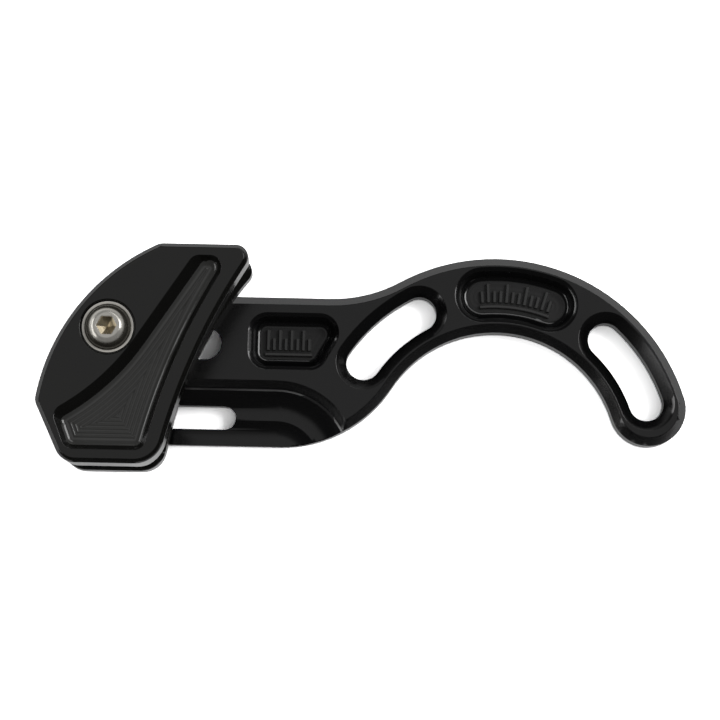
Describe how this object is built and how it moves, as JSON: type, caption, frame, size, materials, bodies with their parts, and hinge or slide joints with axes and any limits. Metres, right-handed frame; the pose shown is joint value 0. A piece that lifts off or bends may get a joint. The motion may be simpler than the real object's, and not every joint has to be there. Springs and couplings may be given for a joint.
{
  "type": "bicycle chain guide",
  "caption": "Bicycle chain guide: a milled hook-shaped back plate with arc mounting slots carries a chain cage that slides along it and is clamped by a bolt.",
  "frame": {"origin": "bottom bracket axis on the back plate's back face", "axes": "+Z away from the bicycle frame towards the drive side, +X along the adjusting slots from the cage towards the bottom bracket, +Y across the arm"},
  "size_m": [0.1108, 0.0389, 0.0256],
  "materials": {
    "plate_anodised": "satin black anodised, milled",
    "cage_anodised": "satin black anodised, milled",
    "roof_nylon": "moulded black nylon",
    "pin_steel": "ground steel",
    "bolt_stainless": "polished stainless steel",
    "nut_steel": "turned steel"
  },
  "bodies": {
    "arm": {"back_plate": "plate_anodised"},
    "cage": {"inner_cage_plate": "cage_anodised", "outer_cage_plate": "cage_anodised", "roof_block": "roof_nylon", "dowel_pins": "pin_steel", "clamp_bolt": "bolt_stainless", "clamp_nut": "nut_steel", "guide_pin": "pin_steel"}
  },
  "joints": [
    {"name": "cage_slide", "type": "slide", "parent": "arm", "child": "cage", "axis": [1, 0, 0], "range_m": [-0.0005, 0.0147]}
  ]
}
